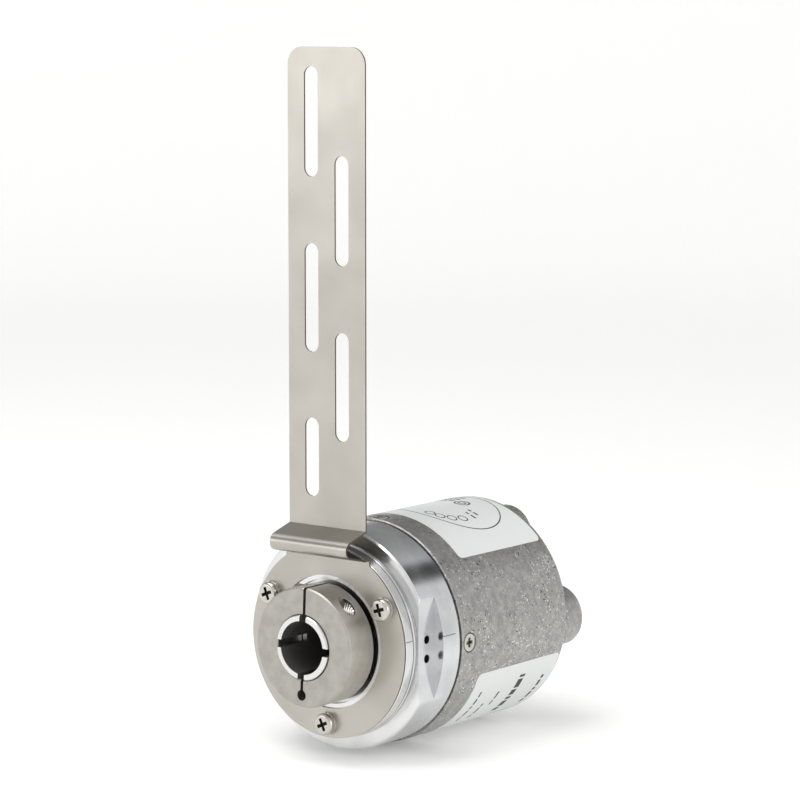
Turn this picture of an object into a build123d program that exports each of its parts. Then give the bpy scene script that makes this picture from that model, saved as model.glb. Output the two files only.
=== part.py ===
from build123d import *
import math
import os

# Absolute rotary encoder with a blind hollow shaft and a slotted torque arm.
# The shaft axis is Y: the shaft opens toward -Y, the housing lies toward +Y, the arm rises along +Z.
# Lengths are millimetres. Y is 0 on the front end of the hollow shaft.

# Fits
shaft_fit = 0.04
seat_fit = 0.03
axle_fit = 0.05
cover_fit = 0.05
bolt_clearance = 0.2
air_gap = 0.4

# Hollow shaft
bore_diameter = 14.0
shaft_diameter = 17.0
collet_slot_width = 2.1
collet_slot_length = 10.6
bore_depth = 31.0
shaft_edge = 0.25
stub_diameter = 8.0
tip_diameter = 4.0
rotor_turn = 2.5

# Clamp ring on the slotted end of the shaft
clamp_front = 0.6
clamp_width = 9.7
clamp_diameter = 31.4
clamp_slit = 0.9
clamp_relief_diameter = 2.8
clamp_relief_height = 12.6
clamp_screw_diameter = 4.0
clamp_screw_height = 11.7
clamp_screw_head = 7.0
clamp_seat = 2.6

# Torque arm, one sheet bent from the round plate to the straight slotted arm
sheet = 0.5
plate_diameter = 51.0
plate_hole = 35.2
arm_width = 25.4
arm_top = 153.7
arm_corner = 4.5
neck_width = 27.8
neck_top = 22.5
fold_top = 30.1
fold_reach = 8.1
fold_radius = 2.35
fold_height = 26.1
slot_width = 4.5
slot_length = 28.1
slot_pitch = 22.6
slot_offset = 5.0
top_slot_height = 134.7
short_slot_length = 20.5

# Screws that hold the round plate
plate_screw_circle = 43.4
plate_screw_diameter = 3.0
plate_screw_head = 5.9
plate_screw_head_height = 1.7
plate_screw_length = 6.0
plate_screw_round = 0.55
plate_cross_span = 0.58
plate_cross_depth = 0.8
lock_washer = 0.7
lock_washer_diameter = 6.2

# Flange
face_front = 11.1
step_diameter = 51.0
step_width = 4.1
rim_diameter = 59.0
rim_slope = 0.5
rim_width = 13.1
groove_width = 0.5
groove_depth = 0.8
recess_diameter = 32.8
recess_depth = 1.3
flat_distance = 26.3
flat_width = 6.0
flat_hole_diameter = 2.2
flat_hole_spacing = 5.0
flat_hole_depth = 5.0
spigot_length = 9.0
cord_groove_width = 2
cord_groove_depth = 1.2

# Housing
housing_diameter = 60.0
housing_rear = 76.5
housing_wall = 2.0
housing_end_wall = 2.6
housing_chamfer = 0.3
housing_rear_round = 1.2
housing_screw_from_edge = 3.0
housing_screw_diameter = 3.0
housing_screw_head = 4.7
housing_screw_sunk = 0.15
housing_screw_length = 4.5
housing_cross_span = 2.2
housing_cross_width = 0.6
housing_cross_depth = 1.4

# Connector bosses on the rear of the housing; insets are from the housing's outside to the boss's centre
boss_diameter = 16.6
boss_edge = 0.4
first_port_inset = 8.35
first_port_angle = -4
second_port_angle = 76
power_angle = 156
boss_inset = 10.52
boss_rear = 84.0
power_boss_rear = 79.5
port_thread_diameter = 11.0
port_thread_depth = 9.0
port_insert_diameter = 8.4
port_insert_recess = 1.0
nipple_diameter = 12.0
nipple_reach = 8.5
nipple_seat_diameter = 11.0
nipple_seat = 4.0
nipple_relief = 0.5
nipple_wall = 1.2
contact_depth = 6.0
window_width = 14.0
window_depth = 3.4
window_inset = 13.0
plug_diameter = 8.0
plug_head = 11.2
plug_head_height = 1.6
plug_slot = 0.8
plug_slot_width = 1.2
key_width = 1.4
key_depth = 0.8
pin_diameter = 1.0
pin_circle = 4.4

# Bearings and seal
bearing_outer = 26.0
bearing_width = 5.0
ball_diameter = 2.6
ball_count = 9
race_wall = 1.5
seal_outer = 28.0
seal_width = 4.0
seal_lip = 0.6
bearing_spacing = 6.0
ring_width = 1.1
ring_groove_depth = 0.6
ring_reach = 0.55
ring_land = 1.2
ring_gap = 6
collar_wall = 1.2
collar_notch = 0.6
spacer_wall = 1.1

# Code disc and the light barrier
disc_gap = 0.5
disc_thickness = 1.0
hub_diameter = 18.0
hub_width = 2.6
hub_gap = 1.0
light_inset = 3.5
light_size = 7.0
sensor_height = 3.0

# Circuit boards and the posts that carry them
board_thickness = 1.6
board_edge_gap = 1.0
board_hole = 10.0
post_inset = 4.0
post_seat = 3.5
post_diameter = 6.0
post_step = 0.7
board_gap = 1.4
gear_plate_thickness = 1.6
chip_height = 0.8
chip_size = 3.6
main_board_gap = 3.0
link_width = 10.0
link_depth = 2.6
link_inset = 7.5

# Gear train that counts the turns
train_gap = 1.27
small_teeth = 14
large_teeth = 28
wheel_width = 2.2
level_gap = 0.6
axle_diameter = 1.6
magnet_diameter = 5.0
magnet_height = 1.2

# Sizes that follow from the ones above
bore_radius = bore_diameter / 2
shaft_radius = shaft_diameter / 2
clamp_rear = clamp_front + clamp_width
clamp_middle = clamp_front + clamp_width / 2
clamp_radius = clamp_diameter / 2
plate_front = face_front - sheet
sheet_middle = face_front - sheet / 2
rim_front = face_front + step_width
rim_edge = rim_front + rim_slope
rim_rear = rim_edge + rim_width
housing_front = rim_rear + groove_width
housing_radius = housing_diameter / 2
housing_inner = housing_radius - housing_wall
spigot_radius = housing_inner - cover_fit
board_radius = housing_inner - board_edge_gap
post_circle = 2 * (housing_inner - post_inset)
link_radius = housing_inner - link_inset
disc_radius = (post_circle - post_diameter) / 2 - disc_gap
light_radius = disc_radius - light_inset
spigot_rear = housing_front + spigot_length
housing_screw_y = housing_front + housing_screw_from_edge
recess_floor = face_front + recess_depth
seal_rear = recess_floor + seal_width
bearing_front = seal_rear + ring_width
bearing_radius = bearing_outer / 2
second_bearing_front = bearing_front + bearing_width + bearing_spacing
bearings_rear = second_bearing_front + bearing_width
ball_path = (shaft_radius + bearing_radius) / 2
shaft_rear = bearings_rear + 2 * ring_width
hub_front = spigot_rear + hub_gap
hub_rear = hub_front + hub_width
disc_rear = hub_rear + disc_thickness
scan_board_front = disc_rear + air_gap + sensor_height
gear_plate_front = scan_board_front + board_thickness + board_gap
gear_first = gear_plate_front + gear_plate_thickness + level_gap
gear_step = wheel_width + level_gap
# The train of wheels reaches as far out as the housing lets it, along the diagonal of its second wheel
train_reach = math.sqrt(2) * (small_teeth + large_teeth) / 2 + large_teeth / 2 + 0.85
gear_module = (housing_inner - train_gap) / train_reach
gear_distance = gear_module * (small_teeth + large_teeth) / 2
train_rear = gear_first + 3 * gear_step
axle_rear = train_rear - 0.4
magnet_rear = train_rear + magnet_height
counter_board_front = magnet_rear + air_gap + chip_height
main_board_front = counter_board_front + board_thickness + main_board_gap
post_tip_radius = post_diameter / 2 - 2 * post_step
post_angles = [45, 225, 315]
plate_screw_angles = [150, 30, 270]
housing_screw_angles = [0, 90, 180, 270]
wheel_centres = [(0, gear_distance), (-gear_distance, gear_distance), (-gear_distance, 0)]
window_height = window_inset - housing_radius
plug_centre = (0, 0)


def polar(radius, degrees):
    # Point on a circle about the shaft axis, as X and Z
    return (radius * math.cos(math.radians(degrees)), radius * math.sin(math.radians(degrees)))


def rod(centre, front, rear, radius, mode=Mode.ADD):
    # Cylinder along Y
    with Locations((centre[0], front, centre[1])):
        Cylinder(radius, rear - front, rotation=(-90, 0, 0),
                 align=(Align.CENTER, Align.CENTER, Align.MIN), mode=mode)


def rod_x(left, right, y, z, radius, mode=Mode.ADD):
    # Cylinder along X
    with Locations((left, y, z)):
        Cylinder(radius, right - left, rotation=(0, 90, 0),
                 align=(Align.CENTER, Align.CENTER, Align.MIN), mode=mode)


def block(x_range, y_range, z_range, mode=Mode.ADD):
    # Box given by its limits
    size = [r[1] - r[0] for r in (x_range, y_range, z_range)]
    middle = [(r[1] + r[0]) / 2 for r in (x_range, y_range, z_range)]
    with Locations(tuple(middle)):
        Box(size[0], size[1], size[2], mode=mode)


def turned(points, mode=Mode.ADD):
    # Solid of revolution about the shaft axis from radius and Y pairs
    with BuildSketch(Plane.XY) as section:
        with BuildLine():
            Polyline(*points, close=True)
        make_face()
    revolve(section.sketch, axis=Axis.Y, mode=mode)


def sleeve(inner, outer, front, rear):
    # Plain ring about the shaft axis
    turned([(inner, front), (outer, front), (outer, rear), (inner, rear)])


def recess_cross(centre, y_front, width, depth):
    # Cross recess of a screw whose head looks toward -Y
    for long_x, long_z in ((width, width / 4), (width / 4, width)):
        block((centre[0] - long_x / 2, centre[0] + long_x / 2), (y_front - 1, y_front + depth),
              (centre[1] - long_z / 2, centre[1] + long_z / 2), mode=Mode.SUBTRACT)


def wheel_face(centre, teeth, turn, front, width):
    # Spur wheel with straight flanks; one tooth points at the angle given by turn
    pitch = gear_module * teeth / 2
    half = math.pi / (2 * teeth)
    corners = []
    for i in range(teeth):
        middle = math.radians(turn) + 2 * math.pi * i / teeth
        for radius, offset in ((pitch - 1.2 * gear_module, -1.3), (pitch + 0.85 * gear_module, -0.45),
                               (pitch + 0.85 * gear_module, 0.45), (pitch - 1.2 * gear_module, 1.3)):
            angle = middle + offset * half
            corners.append((centre[0] + radius * math.cos(angle), centre[1] + radius * math.sin(angle)))
    with BuildSketch(Plane.XZ.offset(-front)) as outline:
        with BuildLine():
            Polyline(*corners, close=True)
        make_face()
    extrude(outline.sketch, amount=-width)


port_centres = [polar(housing_radius - first_port_inset, first_port_angle),
                polar(housing_radius - boss_inset, second_port_angle)]
power_centre = polar(housing_radius - boss_inset, power_angle)

# Hollow shaft with a slotted collet in front and a stub for the disc and the pinion behind
stub_rear = disc_rear + 2.0
tip_rear = gear_first + wheel_width
with BuildPart() as shaft:
    turned([
        (bore_radius, 0),
        (shaft_radius - shaft_edge, 0),
        (shaft_radius, shaft_edge),
        (shaft_radius, shaft_rear),
        (stub_diameter / 2, shaft_rear),
        (stub_diameter / 2, stub_rear),
        (tip_diameter / 2, stub_rear),
        (tip_diameter / 2, tip_rear),
        (0, tip_rear),
        (0, bore_depth + 2),
        (bore_radius, bore_depth),
    ])
    block((-shaft_radius - 1, shaft_radius + 1), (-1, collet_slot_length),
          (-collet_slot_width / 2, collet_slot_width / 2), mode=Mode.SUBTRACT)
    block((-collet_slot_width / 2, collet_slot_width / 2), (-1, collet_slot_length),
          (-shaft_radius - 1, shaft_radius + 1), mode=Mode.SUBTRACT)
shaft.part.label = "hollow_shaft"

# Clamp ring: one slit right through, one ending in a round relief hole
clamp_bore = shaft_radius + shaft_fit
with BuildPart() as clamp:
    turned([
        (clamp_bore + 0.3, clamp_front),
        (clamp_radius - 0.4, clamp_front),
        (clamp_radius, clamp_front + 0.4),
        (clamp_radius, clamp_rear - 0.3),
        (clamp_radius - 0.3, clamp_rear),
        (clamp_bore, clamp_rear),
        (clamp_bore, clamp_front + 0.3),
    ])
    block((-clamp_slit / 2, clamp_slit / 2), (0, clamp_rear + 1), (0, clamp_radius + 1),
          mode=Mode.SUBTRACT)
    block((-clamp_slit / 2, clamp_slit / 2), (0, clamp_rear + 1), (-clamp_relief_height, 0),
          mode=Mode.SUBTRACT)
    rod((0, -clamp_relief_height), 0, clamp_rear + 1, clamp_relief_diameter / 2, mode=Mode.SUBTRACT)
    rod_x(-clamp_radius - 1, -clamp_seat, clamp_middle, clamp_screw_height,
          clamp_screw_head / 2 + bolt_clearance, mode=Mode.SUBTRACT)
    rod_x(-clamp_seat - 1, clamp_radius, clamp_middle, clamp_screw_height,
          clamp_screw_diameter / 2 + seat_fit, mode=Mode.SUBTRACT)
clamp.part.label = "clamp_ring"

# Clamp screw across the slit, socket head on the left
clamp_head_left = -clamp_seat - clamp_screw_diameter
clamp_screw_tip = clamp_radius * 0.52
with BuildPart() as clamp_screw:
    rod_x(clamp_head_left, -clamp_seat, clamp_middle, clamp_screw_height, clamp_screw_head / 2)
    rod_x(-clamp_seat, clamp_screw_tip, clamp_middle, clamp_screw_height, clamp_screw_diameter / 2)
    with BuildSketch(Plane.YZ.offset(clamp_head_left)):
        with Locations((clamp_middle, clamp_screw_height)):
            RegularPolygon(clamp_screw_diameter * 0.43, 6)
    extrude(amount=clamp_screw_diameter / 2, mode=Mode.SUBTRACT)
clamp_screw.part.label = "clamp_screw"

# Torque arm: the straight arm, the folded spring loop and the round plate are one sheet
mid_radius = fold_radius - sheet / 2
loop_y = face_front - sheet - fold_reach + fold_radius
loop_centre = (loop_y, fold_height)


def tangent_point(corner, side):
    # Where a straight leg from the corner meets the loop
    dy = loop_centre[0] - corner[0]
    dz = loop_centre[1] - corner[1]
    distance = math.hypot(dy, dz)
    direction = math.atan2(dz, dy) + side * math.asin(mid_radius / distance)
    reach = math.sqrt(distance ** 2 - mid_radius ** 2)
    return (corner[0] + reach * math.cos(direction), corner[1] + reach * math.sin(direction))


upper_corner = (sheet_middle, fold_top)
lower_corner = (sheet_middle, neck_top)
upper_tangent = tangent_point(upper_corner, -1)
lower_tangent = tangent_point(lower_corner, 1)
with BuildPart() as torque_arm:
    with BuildSketch(Plane.YZ):
        with BuildLine():
            Polyline((sheet_middle, fold_top + 3), upper_corner, upper_tangent)
            ThreePointArc(upper_tangent, (loop_y - mid_radius, fold_height), lower_tangent)
            Polyline(lower_tangent, lower_corner, (sheet_middle, neck_top - 1.5))
            offset(amount=sheet / 2, kind=Kind.INTERSECTION)
        make_face()
    extrude(amount=arm_width / 2, both=True)
    with BuildSketch(Plane.XZ.offset(-sheet_middle)) as arm_sketch:
        with Locations((0, (arm_top + fold_top + 1) / 2)):
            Rectangle(arm_width, arm_top - fold_top - 1)
        fillet(arm_sketch.vertices().group_by(Axis.Y)[-1], radius=arm_corner)
    extrude(amount=sheet / 2, both=True)
    with BuildSketch(Plane.XZ.offset(-sheet_middle)):
        Circle(plate_diameter / 2)
        with Locations((0, neck_top / 2)):
            Rectangle(neck_width, neck_top)
        Circle(plate_hole / 2, mode=Mode.SUBTRACT)
        for angle in plate_screw_angles:
            with Locations(polar(plate_screw_circle / 2, angle)):
                Circle(plate_screw_diameter / 2 + bolt_clearance, mode=Mode.SUBTRACT)
    extrude(amount=sheet / 2, both=True)
    with BuildSketch(Plane.XZ.offset(-sheet_middle)):
        for i in range(4):
            side = -1 if i % 2 == 0 else 1
            with Locations((side * slot_offset, top_slot_height - i * slot_pitch)):
                SlotOverall(slot_length, slot_width, rotation=90)
        short_top = top_slot_height - 4 * slot_pitch + slot_length / 2
        with Locations((-slot_offset, short_top - short_slot_length / 2)):
            SlotOverall(short_slot_length, slot_width, rotation=90)
    extrude(amount=sheet, both=True, mode=Mode.SUBTRACT)
torque_arm.part.label = "torque_arm"

# Cross-recessed pan-head screws of the round plate, each on a spring washer
plate_head_rear = plate_front - lock_washer
plate_head_front = plate_head_rear - plate_screw_head_height
plate_screws = []
lock_washers = []
for i, angle in enumerate(plate_screw_angles):
    spot = polar(plate_screw_circle / 2, angle)
    with BuildPart() as plate_screw:
        rod(spot, plate_head_front, plate_head_rear, plate_screw_head / 2)
        fillet(plate_screw.edges().group_by(Axis.Y)[0], radius=plate_screw_head_height * plate_screw_round)
        rod(spot, plate_head_rear, face_front + plate_screw_length, plate_screw_diameter / 2)
        recess_cross(spot, plate_head_front, plate_screw_head * plate_cross_span,
                     plate_screw_head_height * plate_cross_depth)
    plate_screw.part.label = "plate_screw_" + str(i + 1)
    plate_screws.append(plate_screw.part)
    with BuildPart() as washer:
        rod(spot, plate_head_rear, plate_front, lock_washer_diameter / 2)
        rod(spot, plate_head_rear, plate_front, plate_screw_diameter / 2 + bolt_clearance,
            mode=Mode.SUBTRACT)
        block((spot[0] - 0.2, spot[0] + 0.2), (plate_head_rear, plate_front),
              (spot[1], spot[1] + lock_washer_diameter), mode=Mode.SUBTRACT)
    washer.part.label = "spring_washer_" + str(i + 1)
    lock_washers.append(washer.part)

# Flange with the bearing seats, turned steps, milled flat and a spigot for the housing
with BuildPart() as flange:
    groove_radius = rim_diameter / 2 - groove_depth
    turned([
        (recess_diameter / 2, face_front),
        (step_diameter / 2 - 0.3, face_front),
        (step_diameter / 2, face_front + 0.3),
        (step_diameter / 2, rim_front),
        (rim_diameter / 2 - 0.5, rim_edge - 0.3),
        (rim_diameter / 2, rim_edge + 0.2),
        (rim_diameter / 2, rim_rear - 0.2),
        (rim_diameter / 2 - 0.2, rim_rear),
        (groove_radius, rim_rear),
        (groove_radius, housing_front),
        (spigot_radius, housing_front),
        (spigot_radius, spigot_rear),
        (bearing_radius + seat_fit, spigot_rear),
        (bearing_radius + seat_fit, bearing_front),
        (bearing_radius - 1, bearing_front),
        (bearing_radius - 1, seal_rear),
        (seal_outer / 2 + seat_fit, seal_rear),
        (seal_outer / 2 + seat_fit, recess_floor),
        (recess_diameter / 2, recess_floor),
    ])
    # Flat on the right side with two threaded holes
    block((flat_distance, flat_distance + 10), (face_front, rim_edge + flat_width),
          (-rim_diameter / 2, rim_diameter / 2), mode=Mode.SUBTRACT)
    flat_hole_y = (rim_edge + rim_edge + flat_width) / 2
    for side in (-1, 1):
        rod_x(flat_distance - flat_hole_depth, flat_distance + 1, flat_hole_y,
              side * flat_hole_spacing / 2, flat_hole_diameter / 2, mode=Mode.SUBTRACT)
    for angle in plate_screw_angles:
        rod(polar(plate_screw_circle / 2, angle), face_front - 1, face_front + plate_screw_length + 1,
            plate_screw_diameter / 2 + seat_fit, mode=Mode.SUBTRACT)
    # Threaded holes for the radial housing screws
    for angle in housing_screw_angles:
        with Locations(Rotation(0, -angle, 0) * Location((spigot_radius - 5, housing_screw_y, 0))):
            Cylinder(housing_screw_diameter / 2 + seat_fit, 7, rotation=(0, 90, 0),
                     align=(Align.CENTER, Align.CENTER, Align.MIN), mode=Mode.SUBTRACT)
    # Blind holes for the ends of the board posts
    for angle in post_angles:
        rod(polar(post_circle / 2, angle), spigot_rear - post_seat - 0.5, spigot_rear + 1,
            post_tip_radius + seat_fit, mode=Mode.SUBTRACT)
    # Groove for the sealing ring, and the groove of the retaining ring in the bore
    seal_groove_front = spigot_rear - 3.4
    seal_groove_rear = seal_groove_front + cord_groove_width
    turned([
        (spigot_radius - cord_groove_depth, seal_groove_front),
        (spigot_radius + 1, seal_groove_front),
        (spigot_radius + 1, seal_groove_rear),
        (spigot_radius - cord_groove_depth, seal_groove_rear),
    ], mode=Mode.SUBTRACT)
    turned([
        (bearing_radius - 0.5, bearings_rear),
        (bearing_radius + ring_groove_depth, bearings_rear),
        (bearing_radius + ring_groove_depth, bearings_rear + ring_width),
        (bearing_radius - 0.5, bearings_rear + ring_width),
    ], mode=Mode.SUBTRACT)
flange.part.label = "flange"

# Sealing ring between the flange and the housing
with BuildPart() as housing_seal:
    section_radius = 0.59
    with BuildSketch(Plane.XY):
        with Locations((spigot_radius - 1.2 + section_radius, (seal_groove_front + seal_groove_rear) / 2)):
            Circle(section_radius)
    revolve(axis=Axis.Y)
housing_seal.part.label = "housing_seal"

# Shaft seal with a thin lip that runs on the shaft
with BuildPart() as shaft_seal:
    lip = shaft_radius + shaft_fit
    turned([
        (lip, recess_floor + 1),
        (lip + 1.6, recess_floor + 0.3),
        (seal_outer / 2, recess_floor + 0.3),
        (seal_outer / 2, seal_rear),
        (lip + 1.8, seal_rear),
        (lip + 1.8, recess_floor + 2),
        (lip, recess_floor + 1 + seal_lip),
    ])
shaft_seal.part.label = "shaft_seal"

# Two ball bearings, each as an inner ring, an outer ring and a cage with its balls
inner_rings = []
outer_rings = []
ball_sets = []
for place, start in (("front", bearing_front), ("rear", second_bearing_front)):
    groove_middle = start + bearing_width / 2
    inner_land = shaft_radius + race_wall
    outer_land = bearing_radius - race_wall
    with BuildPart() as inner_ring:
        sleeve(shaft_radius + shaft_fit / 2, inner_land, start, start + bearing_width)
        with BuildSketch(Plane.XY) as race:
            with Locations((ball_path, groove_middle)):
                Circle(ball_diameter / 2 + 0.04)
        revolve(race.sketch, axis=Axis.Y, mode=Mode.SUBTRACT)
    inner_ring.part.label = "inner_ring_" + place
    inner_rings.append(inner_ring.part)
    with BuildPart() as outer_ring:
        sleeve(outer_land, bearing_radius, start, start + bearing_width)
        with BuildSketch(Plane.XY) as race:
            with Locations((ball_path, groove_middle)):
                Circle(ball_diameter / 2 + 0.04)
        revolve(race.sketch, axis=Axis.Y, mode=Mode.SUBTRACT)
    outer_ring.part.label = "outer_ring_" + place
    outer_rings.append(outer_ring.part)
    with BuildPart() as balls:
        sleeve(ball_path - 0.4, ball_path + 0.4, groove_middle - 1.0, groove_middle + 1.0)
        for i in range(ball_count):
            spot = polar(ball_path, 360 * i / ball_count)
            with Locations((spot[0], groove_middle, spot[1])):
                Sphere(ball_diameter / 2, rotation=(17, 9, 0))
    balls.part.label = "ball_cage_" + place
    ball_sets.append(balls.part)

# Spacers between the bearings and the retaining rings behind them
gap_front = bearing_front + bearing_width
with BuildPart() as outer_spacer:
    sleeve(bearing_radius - spacer_wall, bearing_radius, gap_front, second_bearing_front)
outer_spacer.part.label = "outer_spacer"
with BuildPart() as inner_spacer:
    sleeve(shaft_radius + shaft_fit / 2, shaft_radius + spacer_wall, gap_front, second_bearing_front)
inner_spacer.part.label = "inner_spacer"
with BuildPart() as bore_ring:
    sleeve(bearing_radius - ring_land, bearing_radius + ring_reach, bearings_rear, bearings_rear + ring_width)
    block((-ring_gap / 2, ring_gap / 2), (bearings_rear, bearings_rear + ring_width), (0, bearing_radius + 2),
          mode=Mode.SUBTRACT)
bore_ring.part.label = "bore_retaining_ring"
with BuildPart() as shaft_nut:
    sleeve(shaft_radius + shaft_fit / 2, shaft_radius + collar_wall, bearings_rear, shaft_rear)
    rod((0, shaft_radius + collar_wall), bearings_rear, shaft_rear, collar_notch, mode=Mode.SUBTRACT)
shaft_nut.part.label = "shaft_collar"

# Disc hub and glass code disc
with BuildPart() as hub:
    stub_bore = stub_diameter / 2 + seat_fit
    turned([
        (stub_bore, hub_front),
        (hub_diameter / 3, hub_front),
        (hub_diameter / 3, hub_front + 1),
        (hub_diameter / 2, hub_front + 1),
        (hub_diameter / 2, hub_rear),
        (stub_bore, hub_rear),
    ])
hub.part.label = "disc_hub"
with BuildPart() as disc:
    sleeve(stub_diameter / 2 + seat_fit, disc_radius, hub_rear, disc_rear)
disc.part.label = "code_disc"

# Light source in front of the disc and the light sensor chip behind it
with BuildPart() as light:
    half_light = light_size / 2
    lamp_front = spigot_rear
    lamp_rear = hub_rear - air_gap
    block((-half_light, half_light), (lamp_front, lamp_rear),
          (-light_radius - half_light, -light_radius + half_light))
    rod((0, -light_radius), lamp_rear - 0.5, lamp_rear, 1.6, mode=Mode.SUBTRACT)
light.part.label = "light_source"
with BuildPart() as chip:
    block((-3.5, 3.5), (disc_rear + air_gap, scan_board_front), (-light_radius - 2.5, -light_radius + 2.5))
chip.part.label = "light_sensor"


def round_board(front, thickness, level):
    # Round board with holes on the post steps; level is how many steps the posts have taken
    rod((0, 0), front, front + thickness, board_radius)
    for angle in post_angles:
        rod(polar(post_circle / 2, angle), front, front + thickness,
            post_radius(level) + seat_fit, mode=Mode.SUBTRACT)


def post_radius(level):
    # Radius of a post after a number of steps
    return post_diameter / 2 - level * post_step / 2


def link_hole(front, thickness):
    # Opening that the board link passes through
    block((link_radius - link_depth / 2 - 0.5, link_radius + link_depth / 2 + 0.5),
          (front, front + thickness), (-link_width / 2 - 0.5, link_width / 2 + 0.5), mode=Mode.SUBTRACT)


# Scanning board, gear plate, counter board and main board
with BuildPart() as scan_board:
    round_board(scan_board_front, board_thickness, 1)
    rod((0, 0), scan_board_front, scan_board_front + board_thickness, board_hole / 2, mode=Mode.SUBTRACT)
scan_board.part.label = "scan_board"
with BuildPart() as gear_plate:
    round_board(gear_plate_front, gear_plate_thickness, 2)
    rod((0, 0), gear_plate_front, gear_plate_front + gear_plate_thickness, board_hole / 2,
        mode=Mode.SUBTRACT)
    link_hole(gear_plate_front, gear_plate_thickness)
    for centre in wheel_centres:
        rod(centre, gear_plate_front + gear_plate_thickness, gear_first - 0.2, axle_diameter)
        rod(centre, gear_plate_front + gear_plate_thickness, axle_rear, axle_diameter / 2)
gear_plate.part.label = "gear_plate"
with BuildPart() as counter_board:
    round_board(counter_board_front, board_thickness, 3)
    link_hole(counter_board_front, board_thickness)
    for centre in wheel_centres:
        block((centre[0] - chip_size / 2, centre[0] + chip_size / 2),
              (counter_board_front - chip_height, counter_board_front),
              (centre[1] - chip_size / 2, centre[1] + chip_size / 2))
counter_board.part.label = "counter_board"
with BuildPart() as main_board:
    round_board(main_board_front, board_thickness, 4)
    board_rear = main_board_front + board_thickness
    low_edge = -board_radius + 7
    block((-5, 5), (board_rear, board_rear + 1.4), (-10, 0))
    block((6, 11), (board_rear, board_rear + 1.2), (low_edge, low_edge + 5))
    block((-14, -7), (board_rear, board_rear + 3.5), (low_edge, low_edge + 5))
main_board.part.label = "main_board"

# Stepped posts that carry the boards on the rear of the flange
post_levels = [spigot_rear, scan_board_front, gear_plate_front, counter_board_front, main_board_front]
post_end = main_board_front + board_thickness + 1.0
posts = []
for i, angle in enumerate(post_angles):
    spot = polar(post_circle / 2, angle)
    with BuildPart() as post:
        rod(spot, spigot_rear - post_seat, post_end, post_radius(4))
        for level in range(4):
            rod(spot, post_levels[level], post_levels[level + 1], post_radius(level))
    post.part.label = "board_post_" + str(i + 1)
    posts.append(post.part)

# Board link between the scanning board and the main board
with BuildPart() as link:
    block((link_radius - link_depth / 2, link_radius + link_depth / 2),
          (scan_board_front + board_thickness, main_board_front), (-link_width / 2, link_width / 2))
link.part.label = "board_link"

# Pinion on the tip of the shaft and the three wheels of the turn counter, each with its magnet
with BuildPart() as pinion:
    wheel_face((0, 0), small_teeth, 90, gear_first, wheel_width)
    rod((0, 0), gear_first, gear_first + wheel_width, tip_diameter / 2 + seat_fit, mode=Mode.SUBTRACT)
pinion.part.label = "drive_pinion"
wheels = []
magnets = []
small_turns = [180, 270, 0]
drive_directions = [270, 0, 90]
for i, centre in enumerate(wheel_centres):
    large_front = gear_first + i * gear_step
    large_turn = drive_directions[i] + 180 / large_teeth
    with BuildPart() as wheel:
        rod(centre, gear_first, train_rear, 3.0)
        wheel_face(centre, large_teeth, large_turn, large_front, wheel_width)
        if i < 2:
            wheel_face(centre, small_teeth, small_turns[i], large_front + gear_step, wheel_width)
        rod(centre, gear_first, train_rear - 0.3, axle_diameter / 2 + axle_fit, mode=Mode.SUBTRACT)
    wheel.part.label = "counter_wheel_" + str(i + 1)
    wheels.append(wheel.part)
    with BuildPart() as magnet:
        rod(centre, train_rear, magnet_rear, magnet_diameter / 2)
    magnet.part.label = "magnet_" + str(i + 1)
    magnets.append(magnet.part)

# Housing: a cast cup with three connector bosses on its end
head_height = (housing_screw_head - housing_screw_diameter) / 2
head_floor = housing_radius - housing_screw_sunk - head_height
countersink_floor = head_floor - 0.05
boss_spots = [(port_centres[0], boss_rear), (port_centres[1], boss_rear), (power_centre, power_boss_rear)]
end_inner = housing_rear - housing_end_wall
with BuildPart() as housing:
    turned([
        (0, end_inner),
        (housing_inner, end_inner),
        (housing_inner, housing_front),
        (housing_radius - housing_chamfer, housing_front),
        (housing_radius, housing_front + housing_chamfer),
        (housing_radius, housing_rear),
        (0, housing_rear),
    ])
    fillet(housing.edges().group_by(Axis.Y)[-1], radius=housing_rear_round)
    for spot, rear in boss_spots:
        rod(spot, end_inner - 3, rear, boss_diameter / 2)
    # The bosses end flush with the inside of the cup
    turned([
        (housing_inner, housing_front),
        (housing_inner, end_inner),
        (0, end_inner),
        (0, housing_front),
    ], mode=Mode.SUBTRACT)
    for spot in port_centres:
        rod(spot, end_inner - 1, boss_rear + 1, port_thread_diameter / 2, mode=Mode.SUBTRACT)
    rod(power_centre, end_inner - 1, power_boss_rear + 1, nipple_diameter / 2 - nipple_wall,
        mode=Mode.SUBTRACT)
    rod(power_centre, power_boss_rear - nipple_seat, power_boss_rear + 1,
        nipple_seat_diameter / 2 + seat_fit, mode=Mode.SUBTRACT)
    # Broken edges round the mouths of the ports
    chamfer(housing.edges().group_by(Axis.Y)[-1], length=boss_edge)
    # Countersunk holes of the radial screws
    for angle in housing_screw_angles:
        with Locations(Rotation(0, -angle, 0) * Location((housing_radius - 4, housing_screw_y, 0))):
            Cylinder(housing_screw_diameter / 2 + bolt_clearance, 6, rotation=(0, 90, 0),
                     align=(Align.CENTER, Align.CENTER, Align.MIN), mode=Mode.SUBTRACT)
        with Locations(Rotation(0, -angle, 0) * Location((countersink_floor, housing_screw_y, 0))):
            Cone(housing_screw_diameter / 2, housing_screw_diameter / 2 + 2, 2, rotation=(0, 90, 0),
                 align=(Align.CENTER, Align.CENTER, Align.MIN), mode=Mode.SUBTRACT)
    # Window of the status lights and the threaded hole of the setting plug
    with Locations((0, end_inner - 1, window_height)):
        Box(window_width, housing_end_wall + 2, window_depth,
            align=(Align.CENTER, Align.MIN, Align.CENTER), mode=Mode.SUBTRACT)
    rod(plug_centre, end_inner - 1, housing_rear + 1, plug_diameter / 2, mode=Mode.SUBTRACT)
housing.part.label = "housing"

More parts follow.
